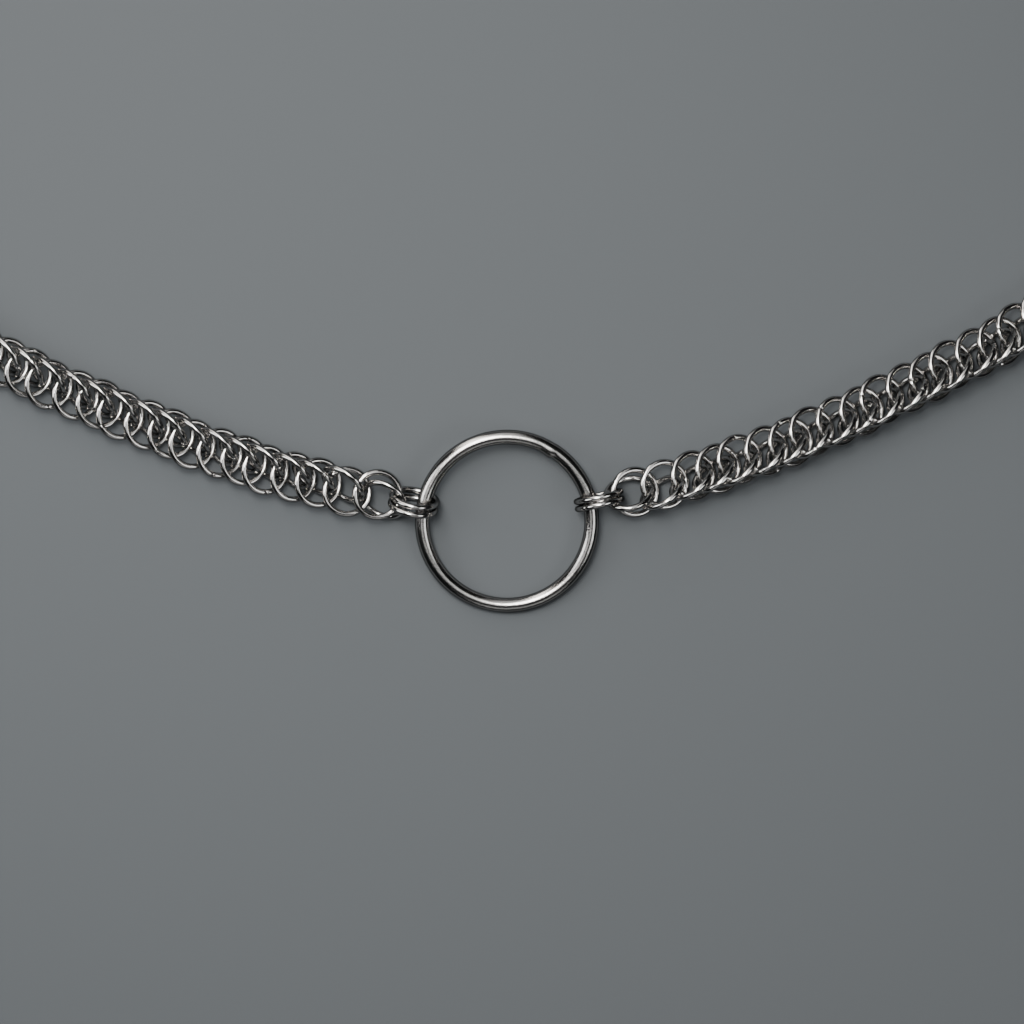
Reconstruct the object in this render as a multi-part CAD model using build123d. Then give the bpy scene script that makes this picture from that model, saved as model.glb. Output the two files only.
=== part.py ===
from build123d import *
from math import asin, cos, degrees, radians, sin, sqrt
import os

# A chainmail necklace laid out flat: a plain O-ring in front, a woven chain on
# each side of it and a clasp at the back. Millimetres and degrees. +Z is up, +Y
# points from the O-ring to the clasp and +X to the right. The origin is the bottom
# centre of the whole.

# Round jump ring, used for every link and every connecting ring
link_bore = 6.4
link_wire = 1.0

# Plain O-ring in front
ring_bore = 25.4
ring_wire = 2.43

# Clasp, a plain flat body with a wide hole for the catch and a small eye
clasp_length = 14.0
clasp_head = 7.0
clasp_tail = 4.8
clasp_thickness = 1.8
catch_bore = 3.8
eye_bore = 2.4
clasp_edge = 0.6

# Weave
pitch_goal = 4.24       # wanted travel from one link to the next of its row
air = 0.18              # between the O-ring and the connecting rings on it

# Route of the chain's middle seen from above, from the O-ring's right side round
# the back to its left side, measured from the O-ring's centre. Its two ends lie on
# the O-ring's wire, at the height given by the two values here.
right_hitch = 2.8
left_hitch = 2.9
ROUTE = [
    (31.7, 7.5), (51.4, 14.8), (71.1, 24.2), (88.0, 33.8), (103.0, 49.4), (109.0, 71.5),
    (103.4, 93.3), (87.0, 108.5), (62.0, 114.5), (0.0, 115.5), (-64.0, 112.5), (-89.0, 106.5),
    (-105.7, 90.9), (-111.3, 69.0), (-105.3, 46.7), (-88.0, 29.8), (-65.1, 18.7), (-47.1, 11.5),
    (-29.0, 6.0),
]

# Places in the tables are shares of a link's mean radius, but along in the first
# two is a share of the pitch. Lean and roll are degrees: lean lifts the end of a
# ring that the route comes from, roll lifts its side towards the loop's inside.
# The tables are written for the left chain. The right one is turned over.
#   along   aside   rise    lean    roll
FLAT_ROW = [
    (-0.010, -0.045, 0.025, 21.5, -5.0),
    (-0.110, -0.135, 0.015, 22.0, -4.5),
    (0.000, -0.085, -0.060, 24.0, -5.5),
]
STANDING_ROW = [
    (-0.240, 0.125, 0.115, -19.0, 62.0),
    (-0.250, 0.165, 0.240, -20.5, 63.0),
    (-0.165, 0.135, 0.220, -19.5, 62.0),
]

# The two links of each row at the ends of a chain, pulled askew by what they hang
# on. along is measured from where the weave's end link would lie, height from the
# ground.
#   along   aside   height  lean    roll
FIRST_FLAT = [
    (-0.404, -0.080, 0.880, 12.9, -5.7),
    (0.954, -0.069, 0.895, 13.4, -5.9),
]
FIRST_STANDING = [
    (-0.698, -0.095, 1.123, 1.5, 48.7),
    (0.743, 0.230, 1.110, -17.4, 62.2),
]
LAST_FLAT = [
    (-0.974, -0.116, 0.940, 11.3, -4.0),
    (0.383, 0.038, 1.186, 10.8, 1.6),
]
LAST_STANDING = [
    (-1.203, 0.155, 1.143, -19.3, 57.4),
    (0.657, -0.134, 0.930, -11.7, 46.1),
]

# Connecting rings, two on each side of the O-ring and one at each end of the clasp.
# along is measured towards the end's flat link from the middle of the pair.
FIRST_PAIR = [
    (-0.009, -0.259, 1.136, -1.3, 87.0),
    (-0.024, 0.062, 1.136, -1.4, 86.9),
]
LAST_PAIR = [
    (0.001, 0.161, 1.065, 1.8, -68.1),
    (-0.009, -0.184, 1.064, 1.8, -67.9),
]
FIRST_SINGLE = (0.000, -0.055, 1.137, -2.0, 85.4)
LAST_SINGLE = (0.010, 0.020, 1.092, -4.7, -72.1)

# From the middle of a connecting ring to where the weave's end link would lie
first_reach = 1.17 * link_bore
last_reach = 1.17 * link_bore

link_radius = (link_bore + link_wire) / 2
ring_radius = (ring_bore + ring_wire) / 2


def drop(radius, wire, lean, roll):
    """How far a tilted ring reaches below its own middle."""
    level = cos(radians(lean)) * cos(radians(roll))
    return radius * sqrt(1 - level * level) + wire / 2


# The lowest link of the weave touches the ground
chain_height = max(
    drop(link_radius, link_wire, lean, roll) - rise * link_radius
    for along, aside, rise, lean, roll in FLAT_ROW + STANDING_ROW
)

# The O-ring's wire stays this far from the middle of the rings that hold it, and
# they stand off from it by most of that
inner_reach = link_radius - (link_wire + ring_wire) / 2 - air
hitch = 0.92 * inner_reach

# The wire lies in those rings, below their middle, and its front edge on the ground
holders = FIRST_PAIR + LAST_PAIR
holder_height = link_radius * sum(height for _, _, height, _, _ in holders) / len(holders)
holder_roll = sum(abs(roll) for _, _, _, _, roll in holders) / len(holders)
hitch_height = holder_height - sqrt(inner_reach ** 2 - hitch ** 2) * sin(radians(holder_roll))
ring_tilt = degrees(asin((hitch_height - ring_wire / 2) / (ring_radius + right_hitch)))
ring_height = ring_radius * sin(radians(ring_tilt)) + ring_wire / 2


def on_ring(aside, side):
    """Point of the O-ring's middle line, on its right (1) or left (-1)."""
    return side * sqrt(ring_radius ** 2 - aside ** 2), aside


ends = [on_ring(right_hitch, 1), on_ring(left_hitch, -1)]
route = Spline(*[(x, y, 0) for x, y in [ends[0], *ROUTE, ends[1]]])

# From the middle of a clasp ring to the middle of the hole that it goes through
clasp_height = 0.95 * link_radius
hole_reach = 0.9 * link_radius
hole_span = clasp_length - clasp_head / 2 - clasp_tail / 2

# Both chains are whole repeats of the weave, and fill the route
repeat = len(FLAT_ROW)
front = 2 * hitch + first_reach + last_reach
back = first_reach + last_reach + 2 * hole_reach + hole_span
room = route.length - front - back
count = repeat * round((room / pitch_goal + 2) / (2 * repeat))
pitch = room / (2 * count - 2)


def seat(distance, aside, height, lean, roll):
    """Location of a ring at a distance along the route."""
    place = route.position_at(distance, position_mode=PositionMode.LENGTH)
    ahead = route.tangent_at(distance, position_mode=PositionMode.LENGTH)
    left = Vector(-ahead.Y, ahead.X, 0)
    middle = place + left * aside + Vector(0, 0, height)
    return Plane(origin=middle, x_dir=ahead, z_dir=(0, 0, 1)).location * Rotation(roll, lean, 0)


def set_seat(start, row, side):
    """Seat from a row whose places are shares of the link's radius."""
    along, aside, height, lean, roll = row
    distance = start + along * link_radius
    return seat(distance, side * aside * link_radius, height * link_radius, lean, side * roll)


def woven_seat(start, index, row, side):
    """Seat of a link in the weave, counted from the chain's first link."""
    along, aside, rise, lean, roll = row[index % repeat]
    distance = start + (index + along) * pitch
    height = chain_height + rise * link_radius
    return seat(distance, side * aside * link_radius, height, lean, side * roll)


def chain(start, side):
    """Seats of one chain's links. side is 1 on the left, -1 turns the weave over."""
    finish = start + (count - 1) * pitch
    woven = range(len(FIRST_FLAT), count - len(LAST_FLAT))
    flat = [woven_seat(start, index, FLAT_ROW, side) for index in woven]
    standing = [woven_seat(start, index, STANDING_ROW, side) for index in woven]
    first = [set_seat(start, row, side) for row in FIRST_FLAT + FIRST_STANDING]
    last = [set_seat(finish, row, side) for row in LAST_FLAT + LAST_STANDING]
    return first + flat + standing + last


# Distances along the route at which the weave of each chain starts and finishes,
# and of the two holes of the clasp
right_start = hitch + first_reach
right_finish = right_start + (count - 1) * pitch
left_finish = route.length - hitch - last_reach
left_start = left_finish - (count - 1) * pitch
catch_place = right_finish + last_reach + hole_reach
eye_place = left_start - first_reach - hole_reach

link = Torus(link_radius, link_wire / 2)


def links(seats):
    """Loose links, one at each seat."""
    return Compound([place * link for place in seats])


def clasp():
    """Flat clasp body along the route between its catch and its eye."""
    catch = route.position_at(catch_place, position_mode=PositionMode.LENGTH)
    eye = route.position_at(eye_place, position_mode=PositionMode.LENGTH)
    middle = Vector(0, 0, clasp_height) + catch
    base = Plane(origin=middle, x_dir=eye - catch, z_dir=(0, 0, 1))
    span = (eye - catch).length
    outline = make_hull([
        *Circle(clasp_head / 2).edges(),
        *(Pos(span, 0) * Circle(clasp_tail / 2)).edges(),
    ])
    holes = Circle(catch_bore / 2) + Pos(span, 0) * Circle(eye_bore / 2)
    body = extrude(outline, clasp_thickness / 2, both=True)
    rim = body.edges().filter_by(Axis.Z, reverse=True)
    body = fillet(rim, clasp_edge) - extrude(holes, clasp_thickness, both=True)
    return base * body


def front_ring():
    """The O-ring, its front edge on the ground."""
    return Pos(0, 0, ring_height) * Rot(ring_tilt, 0, 0) * Torus(ring_radius, ring_wire / 2)


# Distances along the route of the connecting rings
first_pair = right_start - first_reach
first_single = left_start - first_reach
last_pair = left_finish + last_reach
last_single = right_finish + last_reach

parts = {
    "o_ring": front_ring(),
    "chain_right": links(chain(right_start, -1)),
    "chain_left": links(chain(left_start, 1)),
    "clasp": clasp(),
    "clasp_ring_right": set_seat(last_single, LAST_SINGLE, -1) * link,
    "clasp_ring_left": set_seat(first_single, FIRST_SINGLE, 1) * link,
}
for number, row in enumerate(FIRST_PAIR, 1):
    parts[f"hitch_ring_right_{number}"] = set_seat(first_pair, row, -1) * link
for number, row in enumerate(LAST_PAIR, 1):
    parts[f"hitch_ring_left_{number}"] = set_seat(last_pair, row, 1) * link

# Bottom centre of the whole goes to the origin
box = Compound(list(parts.values())).bounding_box()
home = Pos(-box.center().X, -box.center().Y, -box.min.Z)

os.makedirs("parts", exist_ok=True)
for name, shape in parts.items():
    export_step(home * shape, f"parts/{name}.step")
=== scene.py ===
# %% [markdown]
# # A chainmail necklace, dressed for its portrait
#
# The imported model of the necklace is loaded first. It gives the place of every
# ring to about a hundredth of a millimetre, so nothing here is fitted by eye.

# %% Load the frame
import math
import bpy
import numpy as np
from mathutils import Matrix, Vector


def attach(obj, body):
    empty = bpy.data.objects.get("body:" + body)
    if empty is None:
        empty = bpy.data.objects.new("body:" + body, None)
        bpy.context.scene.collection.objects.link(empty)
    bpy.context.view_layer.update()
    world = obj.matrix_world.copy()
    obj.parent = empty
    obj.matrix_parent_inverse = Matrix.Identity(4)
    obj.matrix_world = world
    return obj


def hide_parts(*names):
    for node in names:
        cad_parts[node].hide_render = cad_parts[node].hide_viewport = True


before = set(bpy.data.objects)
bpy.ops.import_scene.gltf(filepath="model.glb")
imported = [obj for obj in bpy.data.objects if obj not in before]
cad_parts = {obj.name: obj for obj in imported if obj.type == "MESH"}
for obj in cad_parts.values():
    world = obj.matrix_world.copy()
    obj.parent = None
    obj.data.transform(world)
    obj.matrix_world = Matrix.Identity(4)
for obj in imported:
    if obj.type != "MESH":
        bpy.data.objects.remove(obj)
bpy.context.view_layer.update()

MM = 0.001
TOUCHING = 0.001 * MM
scene = bpy.context.scene

# %% [markdown]
# ## Small helpers
#
# Blender's operators work on whatever is selected, and the loaded model comes in
# selected. So each step begins with nothing selected and only its own object active.

# %% Select one object alone
def only(piece):
    """Selects one object alone and makes it the active one."""
    bpy.ops.object.select_all(action="DESELECT")
    piece.select_set(True)
    bpy.context.view_layer.objects.active = piece


print("selected at the start:", len(bpy.context.selected_objects))

# %% [markdown]
# ## Where each ring is
#
# A chain node holds over a hundred loose tori. A copy of its mesh is merged, and each
# island of joined points is one torus. The middle of its box is the middle of the
# ring, and the direction in which the points spread least is the axis of the ring.
# The rings are put in order from left to right, so that each run numbers them alike.

# %% Read the seats of the rings from a node
def islands(node):
    """Arrays of points, one for each loose ring in a CAD node."""
    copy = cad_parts[node].copy()
    copy.data = copy.data.copy()
    scene.collection.objects.link(copy)
    only(copy)
    bpy.ops.object.mode_set(mode="EDIT")
    bpy.ops.mesh.select_all(action="SELECT")
    bpy.ops.mesh.remove_doubles(threshold=TOUCHING)
    bpy.ops.object.mode_set(mode="OBJECT")
    bpy.ops.mesh.separate(type="LOOSE")
    found = []
    for piece in list(bpy.context.selected_objects):
        points = np.empty(3 * len(piece.data.vertices))
        piece.data.vertices.foreach_get("co", points)
        found.append(points.reshape(-1, 3))
        mesh = piece.data
        bpy.data.objects.remove(piece)
        bpy.data.meshes.remove(mesh)
    return found


def ring_seat(points):
    """Middle and axis of one torus, with the axis pointing up."""
    middle = (points.min(axis=0) + points.max(axis=0)) / 2
    spread = np.linalg.svd(points - points.mean(axis=0), full_matrices=False)[2]
    axis = spread[2] * (1 if spread[2][2] > 0 else -1)
    return Vector(middle), Vector(axis)


seats = {}
for name in ("chain_left", "chain_right"):
    seats[name] = [ring_seat(points) for points in islands(name)]
    seats[name].sort(key=lambda seat: round(seat[0].x, 6))
    print(name, "has", len(seats[name]), "links")

# %% [markdown]
# ## One butted ring, modelled once
#
# A jump ring is wire wound on a rod and cut through, so its two ends only meet.
# A torus primitive would have no cut. Instead a small circle, the wire's section,
# is spun almost the whole way round, and the two open ends are filled and given a
# tiny bevel, which catches a line of shadow as the real seam does. A few sides are
# enough for so thin a wire, but a polygon inside a circle is thinner than it, so the
# section is drawn a little larger.

# %% The wire's section
def wire_section(name, radius, wire, sides):
    """Circle across the wire, on the +X side of a ring, selected and in edit mode."""
    bpy.ops.object.select_all(action="DESELECT")
    bpy.ops.mesh.primitive_circle_add(
        vertices=sides, radius=wire / 2, location=(radius, 0, 0), rotation=(math.pi / 2, 0, 0)
    )
    piece = bpy.context.active_object
    piece.name = name
    bpy.ops.object.transform_apply(location=True, rotation=True, scale=True)
    bpy.ops.object.mode_set(mode="EDIT")
    bpy.ops.mesh.select_mode(type="VERT")
    bpy.ops.mesh.select_all(action="SELECT")
    return piece


def fuller(sides):
    """How much larger a polygon is drawn, so that it holds as much as its circle."""
    corner = 2 * math.pi / sides
    return math.sqrt(corner / math.sin(corner))


# %% Spin the link and soften the ends of its wire
LINK_RADIUS = 3.7 * MM
LINK_WIRE = 1.0 * MM
LINK_STEPS = 36
LINK_SIDES = 12
SEAM_GAP = 0.08 * MM
SEAM_BEVEL = 0.05 * MM
SHARP_TURN = math.radians(50)


def butted_link():
    """Ring round the origin in the XY plane, with its seam on the +X side."""
    piece = wire_section("link", LINK_RADIUS, LINK_WIRE * fuller(LINK_SIDES), LINK_SIDES)
    turn = 2 * math.pi - SEAM_GAP / LINK_RADIUS
    bpy.ops.mesh.spin(steps=LINK_STEPS, angle=-turn, center=(0, 0, 0), axis=(0, 0, 1))
    bpy.ops.mesh.select_all(action="SELECT")
    bpy.ops.mesh.fill_holes(sides=LINK_SIDES)
    bpy.ops.mesh.select_mode(type="FACE")
    bpy.ops.mesh.select_face_by_sides(number=LINK_SIDES, type="EQUAL", extend=False)
    bpy.ops.mesh.bevel(offset=SEAM_BEVEL, segments=2, affect="EDGES")
    bpy.ops.mesh.select_all(action="SELECT")
    bpy.ops.mesh.normals_make_consistent(inside=False)
    bpy.ops.object.mode_set(mode="OBJECT")
    bpy.ops.object.shade_smooth_by_angle(angle=SHARP_TURN)
    return piece


link = butted_link()
print("one link has", len(link.data.polygons), "faces")

# %% [markdown]
# ## Copies of the link in every seat
#
# Each copy gets its own mesh, is turned so that its axis lies along the seat's axis,
# and has its seam turned to a place of its own: in a worn chain the seams end up
# anywhere, and the golden turn never brings two neighbours' seams together. The
# copies of one chain are then joined into one piece, which stands for the CAD node.

# %% Set the links and join each chain
GOLDEN_TURN = math.radians(137.5)


def set_copy(model, middle, axis, seam_turn):
    """Copy of a ring with its own mesh, moved to a seat, its object at the origin."""
    copy = model.copy()
    copy.data = model.data.copy()
    scene.collection.objects.link(copy)
    turned = axis.to_track_quat("Z", "Y").to_matrix().to_4x4()
    copy.data.transform(Matrix.Translation(middle) @ turned @ Matrix.Rotation(seam_turn, 4, "Z"))
    return copy


def stand_for(piece, node):
    """The piece takes a CAD node's place and rides on the body."""
    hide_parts(node)
    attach(piece, "root")
    return piece


def joined(copies, name):
    """One piece from many copies."""
    bpy.ops.object.select_all(action="DESELECT")
    for copy in copies:
        copy.select_set(True)
    bpy.context.view_layer.objects.active = copies[0]
    bpy.ops.object.join()
    copies[0].name = name
    return copies[0]


steel_pieces = []
for name, places in seats.items():
    copies = [
        set_copy(link, middle, axis, number * GOLDEN_TURN)
        for number, (middle, axis) in enumerate(places)
    ]
    piece = joined(copies, name.replace("chain", "links"))
    steel_pieces.append(stand_for(piece, name))
    print(piece.name, "has", len(piece.data.polygons), "faces")

# %% [markdown]
# ## The rings that hitch the chains
#
# The doubled rings at the O-ring and the single rings at the clasp are the same
# wire and size as the links, so they are copies of the same model. Each one stands
# for a node of its own.

# %% Connecting rings
SINGLES = (
    "hitch_ring_left_1", "hitch_ring_left_2", "hitch_ring_right_1", "hitch_ring_right_2",
    "clasp_ring_left", "clasp_ring_right",
)
for number, name in enumerate(SINGLES):
    middle, axis = ring_seat(islands(name)[0])
    ring = set_copy(link, middle, axis, number * GOLDEN_TURN)
    ring.name = name.replace("ring", "link")
    steel_pieces.append(stand_for(ring, name))
bpy.data.objects.remove(link)
print("connecting rings:", len(SINGLES))

# %% [markdown]
# ## The O-ring
#
# It is thicker wire, closed by a weld that was polished nearly away. So its section
# is spun the whole way round, and the seam is merged. It is also the largest shape
# near the camera, so it has more steps and sides than a link. The two ends of the
# wire met a hair out of line, and the weld left a low bead. Both are made further
# down, by moving and scaling the last few sections.

# %% The O-ring before its weld is worked
RING_RADIUS = 13.915 * MM
RING_WIRE = 2.43 * MM
RING_STEPS = 180
RING_SIDES = 28


def closed_ring():
    """Closed ring round the origin in the XY plane, as round as a torus."""
    piece = wire_section("ring", RING_RADIUS, RING_WIRE, RING_SIDES)
    bpy.ops.mesh.spin(steps=RING_STEPS, angle=2 * math.pi, center=(0, 0, 0), axis=(0, 0, 1))
    bpy.ops.mesh.select_all(action="SELECT")
    bpy.ops.mesh.remove_doubles(threshold=TOUCHING)
    bpy.ops.mesh.normals_make_consistent(inside=False)
    bpy.ops.object.mode_set(mode="OBJECT")
    return piece


ring_model = closed_ring()
print("closed ring has", len(ring_model.data.polygons), "faces")

# %% [markdown]
# ## The weld
#
# In edit mode an operator works on what is selected. Points that are picked in code
# are added to the edges and faces that are still selected from before. So each round
# first selects nothing in edit mode, then picks one section of the wire by its angle,
# and then moves and scales it.

# %% Work the weld and seat the O-ring
WELD_TURN = math.radians(57)
#   section from the weld: (shift outwards in millimetres, growth of the wire)
WELD = {
    -1: (0.02, 1.0),
    0: (-0.07, 1.06),
    1: (-0.10, 1.05),
    2: (-0.08, 1.03),
    3: (-0.05, 1.02),
    4: (-0.02, 1.0),
}


def work_weld(piece):
    """Shifts and swells the sections beside the weld."""
    step = 2 * math.pi / RING_STEPS
    for number, (shift, swell) in WELD.items():
        turn = number * step
        outward = Vector((math.cos(turn), math.sin(turn), 0))
        bpy.ops.object.mode_set(mode="EDIT")
        bpy.ops.mesh.select_all(action="DESELECT")
        bpy.ops.object.mode_set(mode="OBJECT")
        for point in piece.data.vertices:
            point.select = abs(math.atan2(point.co.y, point.co.x) - turn) < step / 4
        bpy.ops.object.mode_set(mode="EDIT")
        middle = outward * RING_RADIUS
        bpy.ops.transform.resize(value=(swell, swell, swell), center_override=middle)
        bpy.ops.transform.translate(value=outward * shift * MM)
        bpy.ops.object.mode_set(mode="OBJECT")


work_weld(ring_model)
bpy.ops.object.shade_smooth()
ring_middle, ring_axis = ring_seat(islands("o_ring")[0])
o_ring = set_copy(ring_model, ring_middle, ring_axis, WELD_TURN)
o_ring.name = "front_o_ring"
bpy.data.objects.remove(ring_model)
steel_pieces.append(stand_for(o_ring, "o_ring"))
print(o_ring.name, "lies at", [round(v / MM, 2) for v in ring_middle])

# %% [markdown]
# ## Polished steel
#
# Polished stainless wire is a mirror with a fine grain: it shows long bright lines
# along the wire and dark ones between them. The grain comes from two noises, a fine
# one for relief and a coarse one that makes some patches duller than others. They
# are in a group, so the links, the O-ring and the clasp can each have their own
# amount of it.

# %% Group: fine grain of drawn and tumbled wire
def new_group(name, inputs, outputs):
    """Shader node group with named sockets, and its input and output nodes."""
    group = bpy.data.node_groups.new(name, "ShaderNodeTree")
    for label, kind, value in inputs:
        socket = group.interface.new_socket(name=label, in_out="INPUT", socket_type=kind)
        if value is not None:
            socket.default_value = value
    for label, kind in outputs:
        group.interface.new_socket(name=label, in_out="OUTPUT", socket_type=kind)
    return group, group.nodes.new("NodeGroupInput"), group.nodes.new("NodeGroupOutput")


NUMBER = "NodeSocketFloat"
GRAIN_INPUTS = [
    ("Vector", "NodeSocketVector", None),
    ("Grain", NUMBER, 1500.0),
    ("Patches", NUMBER, 180.0),
    ("Roughness", NUMBER, 0.2),
    ("Spread", NUMBER, 0.1),
]
GRAIN_OUTPUTS = [("Height", NUMBER), ("Roughness", NUMBER), ("Patch", NUMBER)]
grain, grain_in, grain_out = new_group("wire_grain", GRAIN_INPUTS, GRAIN_OUTPUTS)
fine = grain.nodes.new("ShaderNodeTexNoise")
fine.inputs["Detail"].default_value = 3.0
patches = grain.nodes.new("ShaderNodeTexNoise")
patches.inputs["Detail"].default_value = 2.0
uneven = grain.nodes.new("ShaderNodeMath")
uneven.operation = "MULTIPLY_ADD"
link_up = grain.links.new
link_up(grain_in.outputs["Vector"], fine.inputs["Vector"])
link_up(grain_in.outputs["Grain"], fine.inputs["Scale"])
link_up(grain_in.outputs["Vector"], patches.inputs["Vector"])
link_up(grain_in.outputs["Patches"], patches.inputs["Scale"])
link_up(patches.outputs["Fac"], uneven.inputs[0])
link_up(grain_in.outputs["Spread"], uneven.inputs[1])
link_up(grain_in.outputs["Roughness"], uneven.inputs[2])
link_up(fine.outputs["Fac"], grain_out.inputs["Height"])
link_up(uneven.outputs["Value"], grain_out.inputs["Roughness"])
link_up(patches.outputs["Fac"], grain_out.inputs["Patch"])
print("group", grain.name, "has", len(grain.nodes), "nodes")

# %% [markdown]
# ## Three finishes of one steel
#
# The shader is plain metal, and its colour is the tone of what it mirrors. That tone
# drifts between a darker and a lighter grey, so that equal links don't look stamped.
# The tint of glancing reflections is set low, because the flanks of real wire stay
# dark. The O-ring's wire is a little darker than that of the links, and its grain is
# stronger, as it was polished after the weld.

# %% Make the steel
EDGE_TINT = (0.10, 0.10, 0.10)
GRAIN_DEPTH = 0.02 * MM


def steel(name, dark, light, roughness, spread, grain_scale, bump):
    """Polished steel with uneven tone and a fine grain."""
    material = bpy.data.materials.new(name)
    material.use_nodes = True
    nodes, wires = material.node_tree.nodes, material.node_tree.links
    shader = nodes["Principled BSDF"]
    shader.inputs["Metallic"].default_value = 1.0
    shader.inputs["Specular Tint"].default_value = (*EDGE_TINT, 1)
    place = nodes.new("ShaderNodeTexCoord")
    texture = nodes.new("ShaderNodeGroup")
    texture.node_tree = grain
    texture.inputs["Grain"].default_value = grain_scale
    texture.inputs["Roughness"].default_value = roughness
    texture.inputs["Spread"].default_value = spread
    tone = nodes.new("ShaderNodeMix")
    tone.data_type = "RGBA"
    tone.inputs["A"].default_value = (*dark, 1)
    tone.inputs["B"].default_value = (*light, 1)
    relief = nodes.new("ShaderNodeBump")
    relief.inputs["Strength"].default_value = bump
    relief.inputs["Distance"].default_value = GRAIN_DEPTH
    wires.new(place.outputs["Object"], texture.inputs["Vector"])
    wires.new(texture.outputs["Patch"], tone.inputs["Factor"])
    wires.new(tone.outputs["Result"], shader.inputs["Base Color"])
    wires.new(texture.outputs["Roughness"], shader.inputs["Roughness"])
    wires.new(texture.outputs["Height"], relief.inputs["Height"])
    wires.new(relief.outputs["Normal"], shader.inputs["Normal"])
    return material


link_steel = steel(
    "link_steel", dark=(0.34, 0.333, 0.325), light=(0.51, 0.503, 0.493),
    roughness=0.08, spread=0.12, grain_scale=3500.0, bump=0.5,
)
ring_steel = steel(
    "ring_steel", dark=(0.27, 0.264, 0.257), light=(0.40, 0.394, 0.385),
    roughness=0.10, spread=0.12, grain_scale=6000.0, bump=1.0,
)
clasp_steel = steel(
    "clasp_steel", dark=(0.30, 0.294, 0.287), light=(0.44, 0.434, 0.425),
    roughness=0.16, spread=0.12, grain_scale=2500.0, bump=0.3,
)
print("finishes:", link_steel.name, ring_steel.name, clasp_steel.name)

# %% [markdown]
# ## Each piece gets its steel
#
# The clasp is out of the picture, so the plain CAD shape is all of it, and it keeps
# its own mesh. Only its finish is added here.

# %% Put the steel on
def finish(piece, steel_kind):
    """Makes one material the only one of a piece."""
    piece.data.materials.clear()
    piece.data.materials.append(steel_kind)


for piece in steel_pieces:
    finish(piece, ring_steel if piece is o_ring else link_steel)
finish(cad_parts["clasp"], clasp_steel)
print("pieces with steel:", len(steel_pieces) + 1)

# %% [markdown]
# ## The floor
#
# The necklace lies on paper. Polished wire mirrors what it lies on, so the tone of
# the floor shows in the steel too, and a white floor would take its dark lines away.
# A plain matt plane of a quiet grey does for it. It lies a tenth of a millimetre
# under the lowest wire.

# %% Floor
FLOOR_SIZE = 6.0
FLOOR_DROP = 0.1 * MM
FLOOR_GREY = (0.064, 0.072, 0.079)
FLOOR_ROUGHNESS = 0.9
bpy.ops.object.select_all(action="DESELECT")
bpy.ops.mesh.primitive_plane_add(size=FLOOR_SIZE, location=(0, 0, -FLOOR_DROP))
floor = bpy.context.active_object
floor.name = "floor"
matt_grey = bpy.data.materials.new("matt_grey")
matt_grey.use_nodes = True
floor_shader = matt_grey.node_tree.nodes["Principled BSDF"]
floor_shader.inputs["Base Color"].default_value = (*FLOOR_GREY, 1)
floor_shader.inputs["Roughness"].default_value = FLOOR_ROUGHNESS
floor.data.materials.append(matt_grey)
print("floor", FLOOR_SIZE, "m wide")

# %% [markdown]
# ## The lights
#
# Polished wire is a row of little mirrors, so the lamps are laid out by what the
# O-ring shows: along its wire, each place reflects one direction of the room. A wide
# soft lamp and a small strong one hang almost overhead and draw the bright line along
# the top of every wire. A narrow strip comes down behind the necklace, where the
# broad highlights point, and weaker lamps fill the sides. All of them look at the
# O-ring from the same distance. The lamps are near, so the floor grows darker away
# from it. What the lamps leave dark gets a trace of light from the room.

# %% Lights
LAMP_REACH = 0.4
WARM = (1.0, 0.96, 0.91)
PLAIN = (1.0, 1.0, 1.0)
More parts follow.
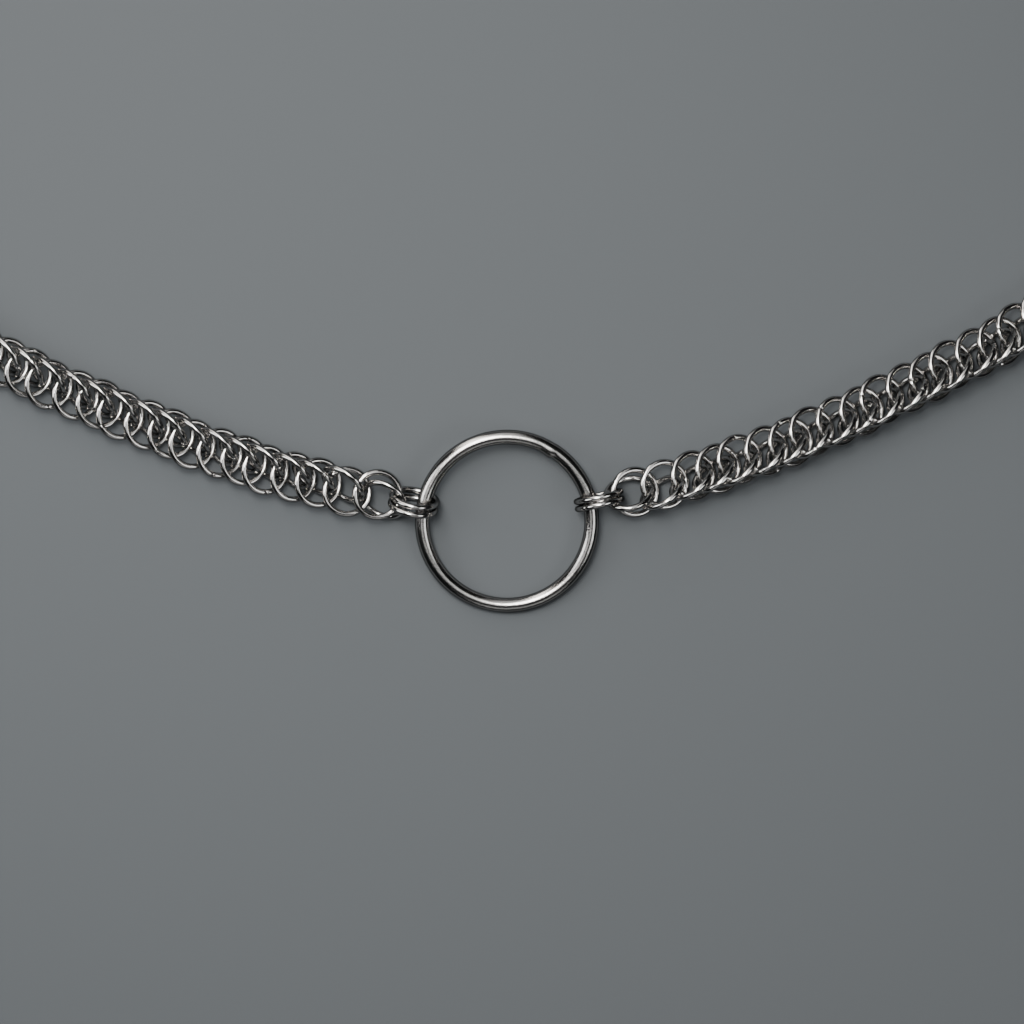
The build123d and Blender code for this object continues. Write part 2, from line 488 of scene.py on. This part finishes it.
#   name, turn and height in degrees, across and up in metres, power in watts, colour
LAMPS = [
    ("overhead", 115, 78, 0.36, 0.36, 0.62, PLAIN),
    ("key", 125, 77, 0.104, 0.112, 1.65, WARM),
    ("upper_strip", 122, 63, 0.104, 0.112, 0.52, WARM),
    ("strip", 118, 40, 0.090, 0.230, 0.46, WARM),
    ("low_strip", 119, 16, 0.104, 0.200, 0.20, WARM),
    ("side", 172, 38, 0.150, 0.220, 0.70, PLAIN),
    ("left_fill", 92, 35, 0.160, 0.240, 0.12, PLAIN),
    ("right_fill", 342, 49, 0.200, 0.140, 0.38, PLAIN),
    ("front_fill", 277, 33, 0.320, 0.180, 0.11, PLAIN),
]


def softbox(name, turn, height, across, up, power, colour):
    """Area lamp that looks at the O-ring from a direction, given in degrees."""
    lamp = bpy.data.lights.new(name, "AREA")
    lamp.shape = "RECTANGLE"
    lamp.size, lamp.size_y = across, up
    lamp.energy = power
    lamp.color = colour
    holder = bpy.data.objects.new(name, lamp)
    scene.collection.objects.link(holder)
    turn, height = math.radians(turn), math.radians(height)
    level = math.cos(height)
    away = Vector((level * math.cos(turn), level * math.sin(turn), math.sin(height)))
    holder.location = ring_middle + away * LAMP_REACH
    holder.rotation_euler = away.to_track_quat("Z", "Y").to_euler()


for lamp in LAMPS:
    softbox(*lamp)
print("lamps:", len(LAMPS))

# %% The room's own light
ROOM_COLOUR = (0.9, 0.95, 1.0)
ROOM_STRENGTH = 0.015
room = bpy.data.worlds.new("room")
room.use_nodes = True
backdrop = room.node_tree.nodes["Background"]
backdrop.inputs["Color"].default_value = (*ROOM_COLOUR, 1)
backdrop.inputs["Strength"].default_value = ROOM_STRENGTH
scene.world = room
print("room light", ROOM_STRENGTH)

# %% [markdown]
# ## The camera
#
# The photograph looks straight down, and so does a new camera that isn't turned. It
# stands well away, so that the chain's height hardly shows. The O-ring is a little
# off the middle of the picture, and the lens follows from how wide a stretch the
# picture takes in at the level of the chain.

# %% Camera
VIEW_MIDDLE = (ring_middle.x + 0.82 * MM, ring_middle.y + 1.54 * MM)
VIEW_WIDTH = 168.03 * MM
VIEW_HEIGHT = 0.6
CHAIN_LEVEL = 3.4 * MM
SENSOR = 36.0
NEAREST = 0.01
FARTHEST = 20.0
view = bpy.data.cameras.new("camera")
view.sensor_width = SENSOR
view.lens = SENSOR * (VIEW_HEIGHT - CHAIN_LEVEL) / VIEW_WIDTH
view.clip_start, view.clip_end = NEAREST, FARTHEST
camera = bpy.data.objects.new("camera", view)
scene.collection.objects.link(camera)
camera.location = (*VIEW_MIDDLE, VIEW_HEIGHT)
scene.camera = camera
print("lens", round(view.lens, 1), "mm")
